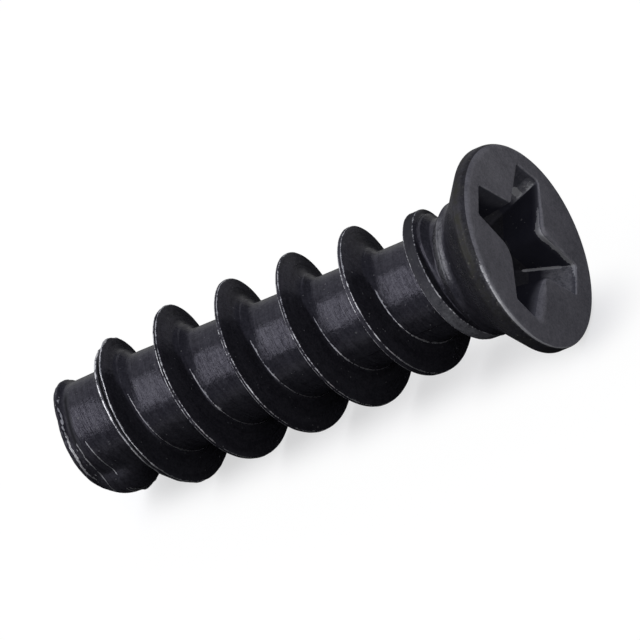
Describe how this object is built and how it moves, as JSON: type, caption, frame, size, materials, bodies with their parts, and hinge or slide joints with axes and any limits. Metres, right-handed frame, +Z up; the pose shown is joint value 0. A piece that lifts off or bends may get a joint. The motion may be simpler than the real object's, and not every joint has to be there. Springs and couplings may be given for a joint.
{
  "type": "case fan screw",
  "caption": "Short black thread-forming screw with a small countersunk head, a cross recess and a coarse thread, lying on its side.",
  "frame": {"origin": "middle of the screw's footprint on the table it lies on", "axes": "+X from the tip to the head along the table, +Z up; the screw's own axis leans up towards the head in the XZ plane"},
  "size_m": [0.0152, 0.006, 0.0061],
  "materials": {
    "black_steel": "glossy black oxide with worn bright edges"
  },
  "bodies": {
    "root": {"screw": "black_steel"}
  },
  "joints": []
}
